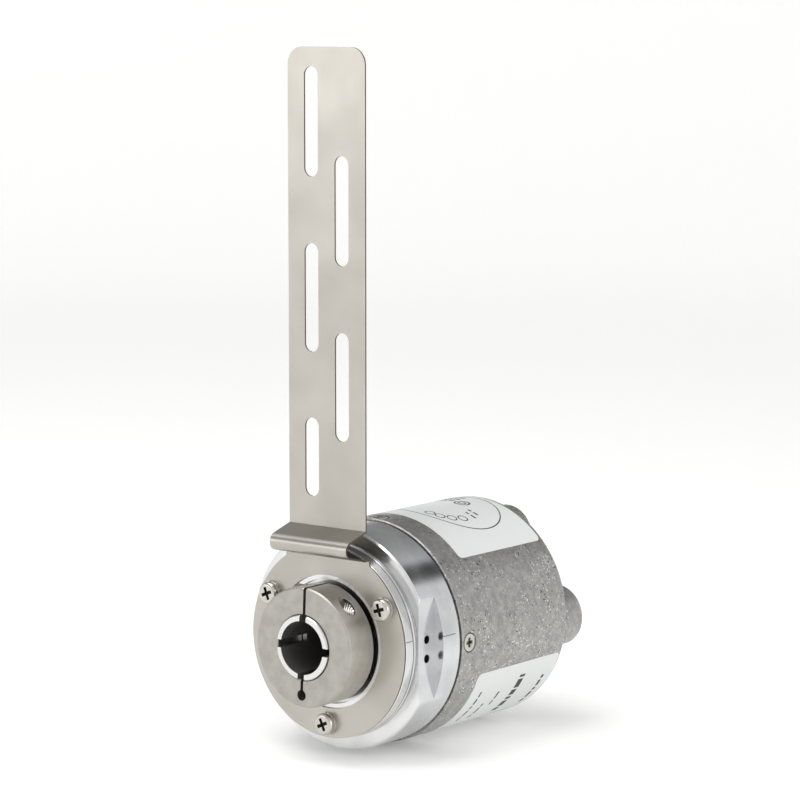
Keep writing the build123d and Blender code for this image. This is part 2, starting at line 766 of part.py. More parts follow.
# Countersunk screws of the housing
housing_screws = []
for i, angle in enumerate(housing_screw_angles):
    with BuildPart() as cover_screw:
        with Locations(Rotation(0, -angle, 0) * Location((head_floor, housing_screw_y, 0))):
            Cone(housing_screw_diameter / 2, housing_screw_head / 2, head_height, rotation=(0, 90, 0),
                 align=(Align.CENTER, Align.CENTER, Align.MIN))
        with Locations(Rotation(0, -angle, 0) * Location((head_floor - housing_screw_length, housing_screw_y, 0))):
            Cylinder(housing_screw_diameter / 2, housing_screw_length + 0.1, rotation=(0, 90, 0),
                     align=(Align.CENTER, Align.CENTER, Align.MIN))
        with Locations(Rotation(0, -angle, 0) * Location((head_floor + head_height, housing_screw_y, 0))):
            Box(housing_cross_depth, housing_cross_span, housing_cross_width, mode=Mode.SUBTRACT)
            Box(housing_cross_depth, housing_cross_width, housing_cross_span, mode=Mode.SUBTRACT)
    cover_screw.part.label = "housing_screw_" + str(i + 1)
    housing_screws.append(cover_screw.part)

# Contact inserts of the connectors
insert_front = main_board_front + board_thickness + 1.0
inserts = []
for i, spot in enumerate(port_centres):
    face = boss_rear - port_insert_recess
    root = boss_rear - port_thread_depth
    with BuildPart() as insert:
        rod(spot, insert_front, root, port_thread_diameter / 2 - seat_fit)
        rod(spot, root, face, port_insert_diameter / 2)
        for k in range(4):
            hole = polar(pin_circle / 2, 45 + 90 * k)
            rod((spot[0] + hole[0], spot[1] + hole[1]), face - contact_depth, face, pin_diameter / 2 + 0.1,
                mode=Mode.SUBTRACT)
        # Coding groove that lets the plug in one way round
        block((spot[0] - key_width / 2, spot[0] + key_width / 2), (face - contact_depth, face),
              (spot[1] + port_insert_diameter / 2 - key_depth, spot[1] + port_insert_diameter / 2 + 1),
              mode=Mode.SUBTRACT)
    insert.part.label = "port_insert_" + str(i + 1)
    inserts.append(insert.part)
with BuildPart() as nipple:
    nipple_front = power_boss_rear - nipple_seat
    nipple_rear = power_boss_rear + nipple_reach
    rod(power_centre, nipple_front, power_boss_rear + nipple_relief, nipple_seat_diameter / 2)
    rod(power_centre, power_boss_rear + nipple_relief, nipple_rear, nipple_diameter / 2)
    rod(power_centre, nipple_front, nipple_rear, nipple_diameter / 2 - nipple_wall, mode=Mode.SUBTRACT)
nipple.part.label = "power_nipple"
with BuildPart() as power_insert:
    rod(power_centre, insert_front, power_boss_rear, nipple_diameter / 2 - nipple_wall - seat_fit)
power_insert.part.label = "power_insert"
with BuildPart() as pins:
    for k in range(4):
        hole = polar(pin_circle / 2, 90 * k)
        spot = (power_centre[0] + hole[0], power_centre[1] + hole[1])
        rod(spot, power_boss_rear, power_boss_rear + nipple_reach - 1.5, pin_diameter / 2)
pins.part.label = "power_pins"

# Window of the status lights and the plug over the setting switch
with BuildPart() as lens:
    with Locations((0, end_inner - 1.6, window_height)):
        Box(window_width - 2 * seat_fit, housing_end_wall + 1.3, window_depth - 2 * seat_fit,
            align=(Align.CENTER, Align.MIN, Align.CENTER))
lens.part.label = "status_window"
with BuildPart() as plug:
    rod(plug_centre, end_inner, housing_rear, plug_diameter / 2 - seat_fit)
    rod(plug_centre, housing_rear, housing_rear + plug_head_height, plug_head / 2)
    block((-0.4 * plug_head, 0.4 * plug_head), (housing_rear + plug_slot, housing_rear + 2),
          (-plug_slot_width / 2, plug_slot_width / 2), mode=Mode.SUBTRACT)
plug.part.label = "setting_plug"

os.makedirs("parts", exist_ok=True)
pieces = [
    torque_arm.part, flange.part, housing_seal.part,
    shaft_seal.part, outer_spacer.part, inner_spacer.part, bore_ring.part, shaft_nut.part,
    hub.part, disc.part, light.part, chip.part, scan_board.part, gear_plate.part,
    counter_board.part, main_board.part, link.part, pinion.part, housing.part, nipple.part,
    power_insert.part, pins.part, lens.part, plug.part,
]
pieces += plate_screws + lock_washers + inner_rings + outer_rings + ball_sets + posts
pieces += wheels + magnets + housing_screws + inserts
# The shaft stands a little turned, with the clamp ring on it
for piece in (shaft.part, clamp.part, clamp_screw.part):
    turned_piece = piece.rotate(Axis.Y, rotor_turn)
    turned_piece.label = piece.label
    pieces.append(turned_piece)
for piece in pieces:
    export_step(piece, "parts/" + piece.label + ".step")
print(len(pieces), "pieces written")
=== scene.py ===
import math
import bpy
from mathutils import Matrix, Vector


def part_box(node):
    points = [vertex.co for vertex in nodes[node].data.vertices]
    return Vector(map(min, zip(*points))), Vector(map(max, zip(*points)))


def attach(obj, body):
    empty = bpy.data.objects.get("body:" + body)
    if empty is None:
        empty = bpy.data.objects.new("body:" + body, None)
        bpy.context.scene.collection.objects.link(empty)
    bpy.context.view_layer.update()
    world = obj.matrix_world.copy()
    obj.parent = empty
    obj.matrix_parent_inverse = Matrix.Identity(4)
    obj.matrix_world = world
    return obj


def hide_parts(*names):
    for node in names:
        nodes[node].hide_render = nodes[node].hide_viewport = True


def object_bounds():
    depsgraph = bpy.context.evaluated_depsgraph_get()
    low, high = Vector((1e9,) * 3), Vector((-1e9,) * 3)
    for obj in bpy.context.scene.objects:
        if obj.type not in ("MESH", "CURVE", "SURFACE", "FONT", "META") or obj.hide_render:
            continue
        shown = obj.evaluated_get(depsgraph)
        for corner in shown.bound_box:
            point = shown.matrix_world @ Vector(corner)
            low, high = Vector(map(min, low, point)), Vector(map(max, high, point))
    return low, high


# Absolute rotary encoder with a slotted torque arm.
# The shaft's axis is Y, its mouth toward -Y, and the arm stands up along Z.
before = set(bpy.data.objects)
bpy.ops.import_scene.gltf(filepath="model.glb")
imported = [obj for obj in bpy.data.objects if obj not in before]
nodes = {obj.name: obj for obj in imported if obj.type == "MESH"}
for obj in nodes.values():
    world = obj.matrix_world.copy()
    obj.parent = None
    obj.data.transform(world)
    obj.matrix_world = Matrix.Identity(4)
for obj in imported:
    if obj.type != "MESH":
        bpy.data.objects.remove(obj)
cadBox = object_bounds()
mm = 0.001


def hexColour(code):
    # sRGB hex to the linear colour a shader expects
    parts = [int(code[i:i + 2], 16) / 255 for i in (1, 3, 5)]
    return [p / 12.92 if p <= 0.04045 else ((p + 0.055) / 1.055) ** 2.4 for p in parts] + [1.0]


def addNode(tree, kind, inputs=None, stops=None, **settings):
    # one node with its settings, plain values and links; stops of a ramp are (position, hex colour)
    node = tree.nodes.new(kind)
    for key, value in settings.items():
        setattr(node, key, value)
    for key, value in (inputs or {}).items():
        if isinstance(value, bpy.types.NodeSocket):
            tree.links.new(value, node.inputs[key])
        else:
            node.inputs[key].default_value = value
    for i, (position, code) in enumerate(stops or []):
        if i == len(node.color_ramp.elements):
            node.color_ramp.elements.new(position)
        node.color_ramp.elements[i].position = position
        node.color_ramp.elements[i].color = hexColour(code)
    return node


def newMaterial(name):
    material = bpy.data.materials.new(name)
    material.use_nodes = True
    material.node_tree.nodes.clear()
    return material, material.node_tree


def finishMaterial(tree, shader):
    addNode(tree, "ShaderNodeOutputMaterial", {"Surface": shader.outputs["BSDF"]})


def perMm(size):
    # texture scale for a pattern of this size in millimetres
    return 1 / (size * mm)


# Patterned finishes: colours, roughness, and pattern sizes in millimetres
springLook = {"light": "#BAB6AF", "dark": "#AFABA4", "cloud": 18.0, "roughness": 0.33, "grain": 0.25,
              "grainLength": 6.0}
turnedLook = {"light": "#D9DADB", "dark": "#C8C9CB", "cloud": 9.0, "roughness": 0.17, "groove": 0.35}
stepLook = {"light": "#E2E2E1", "dark": "#D7D7D7", "cloud": 9.0, "roughness": 0.24, "groove": 0.35}
castLook = {"dark": "#918F8E", "mid": "#A2A19F", "light": "#B3B2AF", "cloud": 2.2, "grit": 0.5,
            "roughness": 0.37, "metallic": 0.97, "fleck": 0.36, "fleckZone": 7.0,
            "bright": "#E2E1DF", "brightFrom": 0.945, "pit": "#4E4C4D", "pitFrom": 0.962}
blastLook = {"light": "#AFACA6", "dark": "#A3A09A", "cloud": 3.0, "roughness": 0.42, "grit": 0.3}
sideLook = {"light": "#D4D1CB", "dark": "#C8C5BF", "cloud": 3.0, "roughness": 0.4, "grit": 0.3}


def springSteel(look):
    # cold-rolled stainless spring sheet: satin, with faint grain lines along the strip
    material, tree = newMaterial("rolledSpringSteel")
    place = addNode(tree, "ShaderNodeTexCoord")
    across = perMm(look["grain"])
    stretch = addNode(tree, "ShaderNodeMapping", {
        "Vector": place.outputs["Object"], "Scale": (across, across, perMm(look["grainLength"]))})
    grain = addNode(tree, "ShaderNodeTexNoise", {
        "Vector": stretch.outputs["Vector"], "Scale": 1.0, "Detail": 3.0})
    cloud = addNode(tree, "ShaderNodeTexNoise", {
        "Vector": place.outputs["Object"], "Scale": perMm(look["cloud"])})
    colour = addNode(tree, "ShaderNodeValToRGB", {"Fac": cloud.outputs["Fac"]},
                     stops=[(0.35, look["dark"]), (0.65, look["light"])])
    gloss = addNode(tree, "ShaderNodeMapRange", {
        "Value": grain.outputs["Fac"], "To Min": look["roughness"] - 0.05,
        "To Max": look["roughness"] + 0.06})
    relief = addNode(tree, "ShaderNodeBump", {
        "Height": grain.outputs["Fac"], "Strength": 0.12, "Distance": 0.02 * mm})
    finishMaterial(tree, addNode(tree, "ShaderNodeBsdfPrincipled", {
        "Base Color": colour.outputs["Color"], "Metallic": 1.0, "Roughness": gloss.outputs["Result"],
        "Normal": relief.outputs["Normal"]}))
    return material


def turnedAluminium(name, look):
    # turned aluminium: fine tool rings round the shaft's axis, bright bands of light
    material, tree = newMaterial(name)
    place = addNode(tree, "ShaderNodeTexCoord")
    parts = addNode(tree, "ShaderNodeSeparateXYZ", {"Vector": place.outputs["Object"]})
    flatPlace = addNode(tree, "ShaderNodeCombineXYZ", {"X": parts.outputs["X"], "Y": parts.outputs["Z"]})
    radius = addNode(tree, "ShaderNodeVectorMath", {0: flatPlace.outputs["Vector"]}, operation="LENGTH")
    run = addNode(tree, "ShaderNodeMath", {
        0: radius.outputs["Value"], 1: parts.outputs["Y"]}, operation="SUBTRACT")
    ringPlace = addNode(tree, "ShaderNodeCombineXYZ", {"X": run.outputs["Value"]})
    rings = addNode(tree, "ShaderNodeTexNoise", {
        "Vector": ringPlace.outputs["Vector"], "Scale": perMm(look["groove"]), "Detail": 3.0})
    cloud = addNode(tree, "ShaderNodeTexNoise", {
        "Vector": place.outputs["Object"], "Scale": perMm(look["cloud"]), "Detail": 3.0})
    colour = addNode(tree, "ShaderNodeValToRGB", {"Fac": cloud.outputs["Fac"]},
                     stops=[(0.35, look["dark"]), (0.65, look["light"])])
    gloss = addNode(tree, "ShaderNodeMapRange", {
        "Value": cloud.outputs["Fac"], "To Min": look["roughness"] - 0.04,
        "To Max": look["roughness"] + 0.07})
    relief = addNode(tree, "ShaderNodeBump", {
        "Height": rings.outputs["Fac"], "Strength": 0.1, "Distance": 0.02 * mm})
    finishMaterial(tree, addNode(tree, "ShaderNodeBsdfPrincipled", {
        "Base Color": colour.outputs["Color"], "Metallic": 1.0, "Roughness": gloss.outputs["Result"],
        "Normal": relief.outputs["Normal"]}))
    return material


def castAluminium(look):
    # raw die-cast aluminium, tumbled: cloudy grey with bright flecks, dark pits and a fine grit
    material, tree = newMaterial("dieCastAluminium")
    place = addNode(tree, "ShaderNodeTexCoord")
    cloud = addNode(tree, "ShaderNodeTexNoise", {
        "Vector": place.outputs["Object"], "Scale": perMm(look["cloud"]), "Detail": 6.0, "Roughness": 0.65})
    base = addNode(tree, "ShaderNodeValToRGB", {"Fac": cloud.outputs["Fac"]},
                   stops=[(0.30, look["dark"]), (0.50, look["mid"]), (0.72, look["light"])])
    flecks = addNode(tree, "ShaderNodeTexVoronoi", {
        "Vector": place.outputs["Object"], "Scale": perMm(look["fleck"])}, feature="F1")
    chance = addNode(tree, "ShaderNodeSeparateColor", {"Color": flecks.outputs["Color"]})
    bright = addNode(tree, "ShaderNodeMath", {
        0: chance.outputs["Red"], 1: look["brightFrom"]}, operation="GREATER_THAN")
    pit = addNode(tree, "ShaderNodeMath", {
        0: chance.outputs["Green"], 1: look["pitFrom"]}, operation="GREATER_THAN")
    zone = addNode(tree, "ShaderNodeTexNoise", {
        "Vector": place.outputs["Object"], "Scale": perMm(look["fleckZone"])})
    weight = addNode(tree, "ShaderNodeMapRange", {
        "Value": zone.outputs["Fac"], "From Min": 0.3, "From Max": 0.6})
    brightHere = addNode(tree, "ShaderNodeMath", {
        0: bright.outputs["Value"], 1: weight.outputs["Result"]}, operation="MULTIPLY")
    pitHere = addNode(tree, "ShaderNodeMath", {
        0: pit.outputs["Value"], 1: weight.outputs["Result"]}, operation="MULTIPLY")
    lit = addNode(tree, "ShaderNodeMix", {
        "Factor": brightHere.outputs["Value"], "A": base.outputs["Color"],
        "B": hexColour(look["bright"])}, data_type="RGBA")
    colour = addNode(tree, "ShaderNodeMix", {
        "Factor": pitHere.outputs["Value"], "A": lit.outputs["Result"],
        "B": hexColour(look["pit"])}, data_type="RGBA")
    grit = addNode(tree, "ShaderNodeTexNoise", {
        "Vector": place.outputs["Object"], "Scale": perMm(look["grit"]), "Detail": 3.0})
    relief = addNode(tree, "ShaderNodeBump", {
        "Height": grit.outputs["Fac"], "Strength": 0.35, "Distance": 0.08 * mm})
    finishMaterial(tree, addNode(tree, "ShaderNodeBsdfPrincipled", {
        "Base Color": colour.outputs["Result"], "Metallic": look["metallic"],
        "Roughness": look["roughness"], "Normal": relief.outputs["Normal"]}))
    return material


def blastedSteel(name, look):
    # bead-blasted steel: even matt grey with a fine grit
    material, tree = newMaterial(name)
    place = addNode(tree, "ShaderNodeTexCoord")
    cloud = addNode(tree, "ShaderNodeTexNoise", {
        "Vector": place.outputs["Object"], "Scale": perMm(look["cloud"]), "Detail": 4.0})
    colour = addNode(tree, "ShaderNodeValToRGB", {"Fac": cloud.outputs["Fac"]},
                     stops=[(0.35, look["dark"]), (0.65, look["light"])])
    grit = addNode(tree, "ShaderNodeTexNoise", {
        "Vector": place.outputs["Object"], "Scale": perMm(look["grit"])})
    relief = addNode(tree, "ShaderNodeBump", {
        "Height": grit.outputs["Fac"], "Strength": 0.25, "Distance": 0.04 * mm})
    finishMaterial(tree, addNode(tree, "ShaderNodeBsdfPrincipled", {
        "Base Color": colour.outputs["Color"], "Metallic": 1.0, "Roughness": look["roughness"],
        "Normal": relief.outputs["Normal"]}))
    return material


def plainMaterial(look):
    # one colour and one gloss all over
    material, tree = newMaterial(look["name"])
    shader = addNode(tree, "ShaderNodeBsdfPrincipled", {
        "Base Color": hexColour(look["colour"]), "Metallic": look.get("metallic", 0.0),
        "Roughness": look["roughness"], "Coat Weight": look.get("coat", 0.0), "Coat Roughness": 0.1})
    finishMaterial(tree, shader)
    return material


plainLooks = {
    # bright, with sharp reflections
    "ground": {"name": "groundStainlessSteel", "colour": "#D9D8D6", "metallic": 1.0, "roughness": 0.2},
    # crests of the clamp ring's thread, left bright by the tap
    "cut": {"name": "tappedSteelThread", "colour": "#C9C6C0", "metallic": 1.0, "roughness": 0.2},
    # the screws: bright and slightly warm
    "nickel": {"name": "nickelPlatedSteel", "colour": "#C4C1BA", "metallic": 1.0, "roughness": 0.18},
    # dull black seals
    "rubber": {"name": "nitrileRubber", "colour": "#1B1B1C", "roughness": 0.65},
    # the power connector: a warmer white than the screws
    "brass": {"name": "nickelPlatedBrass", "colour": "#CFCBBE", "metallic": 1.0, "roughness": 0.25},
    "gold": {"name": "goldPlatedContact", "colour": "#E3BE6A", "metallic": 1.0, "roughness": 0.22},
    # moulded plastics: soft broad highlights
    "blackPlastic": {"name": "mouldedPolyamide", "colour": "#1E1F20", "roughness": 0.5},
    "greyPlastic": {"name": "mouldedAcetal", "colour": "#C9C9C6", "roughness": 0.42},
    "window": {"name": "milkyPolycarbonate", "colour": "#D9DBD8", "roughness": 0.25},
    # green lacquer under a thin gloss
    "board": {"name": "solderResist", "colour": "#1F5A34", "roughness": 0.35, "coat": 0.3},
    # polished and pale
    "glass": {"name": "codeGlass", "colour": "#AEB8B8", "roughness": 0.05, "coat": 0.5},
    # label film, smooth under a light gloss, and its matt print
    "film": {"name": "whitePolyesterFilm", "colour": "#D9DBDA", "roughness": 0.4, "coat": 0.1},
    "ink": {"name": "blackPrintingInk", "colour": "#262728", "roughness": 0.5},
    # sheared edge of the sheet: duller than the rolled faces, and darkened further as painted shade for the
    # dark outlines along the edges
    "shearedShaded": {"name": "shearedEdgeWithPaintedShade", "colour": "#5E5850", "metallic": 1.0, "roughness": 0.55},
    # honed bore in painted shade: coloured dark where hardly any light reaches
    "bore": {"name": "boreInPaintedShade", "colour": "#5A5855", "metallic": 0.35, "roughness": 0.5},
    # painted shade for the insides of the cross recesses and of the tapped hole, where hardly any light
    # gets in, and for the countersink edges
    "recess": {"name": "recessPaintedShade", "colour": "#3C3A37", "metallic": 0.7, "roughness": 0.6},
    # fine scratched lines, dull and darker than the turned metal, and the painted shade line before the
    # step's bead
    "scribeAndShade": {"name": "scribedLineAndPaintedShade", "colour": "#6E6F70", "metallic": 0.6, "roughness": 0.5},
}
looks = {
    "spring": springSteel(springLook),
    "turned": turnedAluminium("turnedAluminium", turnedLook),
    # the step under the arm's plate: paler as painted light, and turned less finely, so its reflections are
    # softer
    "step": turnedAluminium("stepAluminiumPaintedPale", stepLook),
    "cast": castAluminium(castLook),
    "blasted": blastedSteel("beadBlastedSteel", blastLook),
    # the clamp ring's round side, lighter than its end faces
    "blastedSide": blastedSteel("turnedAndBlastedSteel", sideLook),
}
for look, values in plainLooks.items():
    looks[look] = plainMaterial(values)

nodeLooks = {
    "spring": ["torque_arm"],
    "turned": ["flange", "disc_hub"],
    "cast": ["housing"],
    "blasted": ["clamp_ring", "clamp_screw"],
    "ground": ["hollow_shaft", "shaft_collar", "inner_spacer", "outer_spacer", "bore_retaining_ring",
               "inner_ring_front", "inner_ring_rear", "outer_ring_front", "outer_ring_rear",
               "ball_cage_front", "ball_cage_rear", "magnet_1", "magnet_2", "magnet_3"],
    "nickel": ["plate_screw_1", "plate_screw_2", "plate_screw_3", "spring_washer_1", "spring_washer_2",
               "spring_washer_3", "housing_screw_1", "housing_screw_2", "housing_screw_3",
               "housing_screw_4", "board_post_1", "board_post_2", "board_post_3"],
    "rubber": ["shaft_seal", "housing_seal"],
    "brass": ["power_nipple"],
    "gold": ["power_pins"],
    "blackPlastic": ["power_insert", "port_insert_1", "port_insert_2", "setting_plug", "light_source",
                     "light_sensor", "gear_plate", "board_link"],
    "greyPlastic": ["drive_pinion", "counter_wheel_1", "counter_wheel_2", "counter_wheel_3"],
    "window": ["status_window"],
    "board": ["scan_board", "counter_board", "main_board"],
    "glass": ["code_disc"],
}


def coat(piece, look):
    piece.data.materials.clear()
    piece.data.materials.append(looks[look])


for look, names in nodeLooks.items():
    for name in names:
        coat(nodes[name], look)
print("materials ready")


def only(piece):
    # the piece alone selected and active
    bpy.ops.object.select_all(action="DESELECT")
    piece.select_set(True)
    bpy.context.view_layer.objects.active = piece


def applyModifier(piece, kind, settings):
    only(piece)
    bpy.ops.object.modifier_add(type=kind)
    modifier = piece.modifiers[-1]
    for key, value in settings.items():
        setattr(modifier, key, value)
    bpy.ops.object.modifier_apply(modifier=modifier.name)


def smooth(piece, degrees=32):
    only(piece)
    bpy.ops.object.shade_smooth_by_angle(angle=math.radians(degrees))


def applyTransform():
    bpy.ops.object.transform_apply(location=True, rotation=True, scale=True)


def settle(piece, rotation, location):
    # turned and moved, with the place in its mesh
    piece.rotation_euler = rotation
    piece.location = location
    only(piece)
    applyTransform()


def middleOf(name):
    low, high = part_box(name)
    return (Vector(low) + Vector(high)) / 2


# Edge breaks in millimetres, by node
edgeBreaks = {"torque_arm": 0.05, "flange": 0.08, "clamp_ring": 0.18, "hollow_shaft": 0.08,
              "clamp_screw": 0.1, "spring_washer_1": 0.06, "spring_washer_2": 0.06,
              "spring_washer_3": 0.06, "plate_screw_1": 0.08, "plate_screw_2": 0.08,
              "plate_screw_3": 0.08, "housing_screw_1": 0.06, "housing_screw_2": 0.06,
              "housing_screw_3": 0.06, "housing_screw_4": 0.06}
rotorNodes = ["clamp_ring", "hollow_shaft", "clamp_screw"]
dressSettings = {"merge": 0.002 * mm, "flatDegrees": 0.3, "sharpDegrees": 40}


def dress(node, rounding):
    # a merged copy of a node with its sharp edges broken, shown in its place
    piece = bpy.data.objects.new(node + "Dressed", nodes[node].data.copy())
    bpy.context.scene.collection.objects.link(piece)
    only(piece)
    bpy.ops.object.mode_set(mode="EDIT")
    bpy.ops.mesh.select_all(action="SELECT")
    bpy.ops.mesh.remove_doubles(threshold=dressSettings["merge"])
    bpy.ops.mesh.dissolve_limited(angle_limit=math.radians(dressSettings["flatDegrees"]))
    bpy.ops.object.mode_set(mode="OBJECT")
    applyModifier(piece, "BEVEL", {
        "width": rounding * mm, "segments": 2, "limit_method": "ANGLE",
        "angle_limit": math.radians(dressSettings["sharpDegrees"]), "use_clamp_overlap": True,
        "miter_outer": "MITER_ARC"})
    smooth(piece)
    applyModifier(piece, "WEIGHTED_NORMAL", {"keep_sharp": True})
    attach(piece, "rotor" if node in rotorNodes else "stator")
    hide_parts(node)
    return piece


dressed = {}
for node, rounding in edgeBreaks.items():
    dressed[node] = dress(node, rounding)
for name in ("housing", "power_nipple", "port_insert_1", "port_insert_2", "setting_plug"):
    smooth(nodes[name], 28)
print("edges broken")


def coatFaces(piece, look, test):
    # another finish on the faces whose centre and normal pass the test
    piece.data.materials.append(looks[look])
    last = len(piece.data.materials) - 1
    for face in piece.data.polygons:
        if test(face.center, face.normal):
            face.material_index = last


def selectFaces(piece, test):
    # leaves the piece in edit mode with only the faces that pass the test selected
    only(piece)
    bpy.ops.object.mode_set(mode="EDIT")
    bpy.ops.mesh.select_mode(type="FACE")
    bpy.ops.mesh.select_all(action="DESELECT")
    bpy.ops.object.mode_set(mode="OBJECT")
    for face in piece.data.polygons:
        face.select = test(face.center, face.normal)
    bpy.ops.object.mode_set(mode="EDIT")


# The sheet's edges face sideways or along Z; its two sides face along Y, except in the fold
fold = {"bottom": 22.0 * mm, "top": 30.5 * mm}
# the sheet's edges and slot walls: a duller sheared finish, partly painted shade
coatFaces(dressed["torque_arm"], "shearedShaded",
          lambda c, n: abs(n.x) > 0.8 or (abs(n.y) < 0.3 and not fold["bottom"] < c.z < fold["top"]))

# Cross recesses: painted shade inside, and each plate screw stands at its own turn
crossSettings = {"skin": 0.12 * mm, "plateDepth": 1.6 * mm, "plateRadius": 1.8 * mm,
                 "plateTurns": (22, 18, 25), "housingDepth": 0.9 * mm, "housingRadius": 1.5 * mm,
                 "mouth": 0.16 * mm, "topSkin": 0.02 * mm}


def plateCross(name, degrees):
    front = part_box(name)[0][1]
    middle = middleOf(name)
    screw = dressed[name]

    def inside(centre, normal):
        return (front + crossSettings["skin"] < centre.y < front + crossSettings["plateDepth"]
                and math.hypot(centre.x - middle.x, centre.z - middle.z) < crossSettings["plateRadius"])

    coatFaces(screw, "recess", inside)
    only(screw)
    bpy.ops.object.mode_set(mode="EDIT")
    bpy.ops.mesh.select_all(action="SELECT")
    bpy.ops.transform.rotate(value=math.radians(degrees), orient_axis="Y", center_override=middle)
    bpy.ops.object.mode_set(mode="OBJECT")


def housingCross(name):
    middle = middleOf(name)
    screw = dressed[name]
    outward = Vector((middle.x, 0, middle.z)).normalized()
    top = max(vertex.co.dot(outward) for vertex in screw.data.vertices)

    def nearAxis(centre):
        return (centre - middle).cross(outward).length < crossSettings["housingRadius"]

    def inside(centre, normal):
        height = centre.dot(outward)
        return (top - crossSettings["housingDepth"] < height < top - crossSettings["skin"] / 2
                and abs(normal.dot(outward)) < 0.97 and nearAxis(centre))

    def onTop(centre, normal):
        return normal.dot(outward) > 0.99 and centre.dot(outward) > top - crossSettings["topSkin"]

    coatFaces(screw, "recess", inside)
    # the rounded mouth of the cross gets painted shade too
    facesBefore = len(screw.data.polygons)
    selectFaces(screw, onTop)
    bpy.ops.mesh.inset(thickness=crossSettings["mouth"], use_boundary=True)
    bpy.ops.object.mode_set(mode="OBJECT")
    for face in screw.data.polygons[facesBefore:]:
        if nearAxis(face.center):
            face.material_index = len(screw.data.materials) - 1


for i, degrees in enumerate(crossSettings["plateTurns"]):
    plateCross("plate_screw_%d" % (i + 1), degrees)
for i in range(1, 5):
    housingCross("housing_screw_%d" % i)

# The flange's step and the slope up to its rim, short of the flat, in the paler copy with painted light
flangeStep = {"rear": 16.4 * mm, "side": 26.2 * mm}
coatFaces(dressed["flange"], "step", lambda c, n: c.y < flangeStep["rear"] and c.x < flangeStep["side"])

# The clamp ring's round side
clampSide = 15.0 * mm
coatFaces(dressed["clamp_ring"], "blastedSide",
          lambda c, n: math.hypot(c.x, c.z) > clampSide and abs(n.y) < 0.5 and n.x * c.x + n.z * c.z > 0)

# Painted shade inside the shaft's bore and on the walls of its four slots
boreSettings = {"radius": 7.08 * mm, "sleeve": 8.45 * mm, "mouth": 0.2 * mm}


def insideBore(centre, normal):
    radius = math.hypot(centre.x, centre.z)
    sideways = abs(normal.x * centre.x + normal.z * centre.z) < 0.5 * radius
    slotWall = radius < boreSettings["sleeve"] and sideways and abs(normal.y) < 0.5
    return centre.y > boreSettings["mouth"] and (radius < boreSettings["radius"] or slotWall)


coatFaces(dressed["hollow_shaft"], "bore", insideBore)

# Wall of the clamp ring's tapped hole, in millimetres and degrees
tappedHole = {"radius": 2.3, "y": 5.45, "height": 11.7, "turn": 2.5}
tappedTurn = math.radians(tappedHole["turn"])
tappedAxis = Vector((math.cos(tappedTurn), 0, -math.sin(tappedTurn)))
tappedFoot = Vector((math.sin(tappedTurn) * tappedHole["height"], tappedHole["y"],
                     math.cos(tappedTurn) * tappedHole["height"])) * mm


def inTappedHole(centre, normal):
    offAxis = (centre - tappedFoot).cross(tappedAxis).length
    return offAxis < tappedHole["radius"] * mm and abs(normal.dot(tappedAxis)) < 0.3


# painted shade on the wall of the tapped hole
coatFaces(dressed["clamp_ring"], "recess", inTappedHole)
print("recesses and bore coated")

# Labels: film wrapped round the housing. Ends are in degrees round the shaft
labelSettings = {
    "radius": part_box("housing")[1][0],
    "film": 0.04 * mm,
    "corner": 1.5 * mm,
    "stripDegrees": 2.0,
    "top": {"front": 38.5 * mm, "rear": 74.7 * mm, "from": 42.7, "to": 137.0},
    "bottom": {"front": 38.5 * mm, "rear": 75.3 * mm, "from": -113.0, "to": -19.0},
}


def degreesPerMetre(radius):
    return math.degrees(1 / radius)


def wrap(piece, radius):
    # rolls a flat piece, X in degrees and Y along the shaft, on to a cylinder round the shaft's axis
    for vertex in piece.data.vertices:
        turn = math.radians(vertex.co.x)
        vertex.co = Vector((radius * math.cos(turn), vertex.co.y, radius * math.sin(turn)))


def faceOutward(piece):
    # every face of a thin skin looks away from the shaft's axis
    for face in piece.data.polygons:
        if face.normal.dot(Vector((face.center.x, 0, face.center.z))) < 0:
            face.flip()


def flatPatch(x0, x1, y0, y1, corner, radius):
    # rectangle from x0 to x1 degrees, made flat at its real size and cut in strips, then X in degrees
    spread = degreesPerMetre(radius)
    low = x0 / spread
    high = x1 / spread
    bpy.ops.object.select_all(action="DESELECT")
    bpy.ops.mesh.primitive_plane_add(size=1)
    piece = bpy.context.object
    piece.scale = (high - low, y1 - y0, 1)
    piece.location = ((low + high) / 2, (y0 + y1) / 2, 0)
    applyTransform()
    bpy.ops.object.mode_set(mode="EDIT")
    bpy.ops.mesh.select_all(action="SELECT")
    if corner:
        bpy.ops.mesh.bevel(offset=corner, segments=6, affect="VERTICES")
    strips = max(1, int((x1 - x0) / labelSettings["stripDegrees"]))
    for i in range(1, strips):
        bpy.ops.mesh.select_all(action="SELECT")
        cut = low + (high - low) * i / strips
        bpy.ops.mesh.bisect(plane_co=(cut, 0, 0), plane_no=(1, 0, 0))
    bpy.ops.object.mode_set(mode="OBJECT")
    for vertex in piece.data.vertices:
        vertex.co.x *= spread
    return piece


def makeLabel(name, area):
    piece = flatPatch(area["from"], area["to"], area["front"], area["rear"], labelSettings["corner"],
                      labelSettings["radius"])
    piece.name = name
    wrap(piece, labelSettings["radius"])
    faceOutward(piece)
    applyModifier(piece, "SOLIDIFY", {"thickness": labelSettings["film"], "offset": 1})
    smooth(piece)
    coat(piece, "film")
    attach(piece, "stator")


makeLabel("topLabel", labelSettings["top"])
makeLabel("bottomLabel", labelSettings["bottom"])

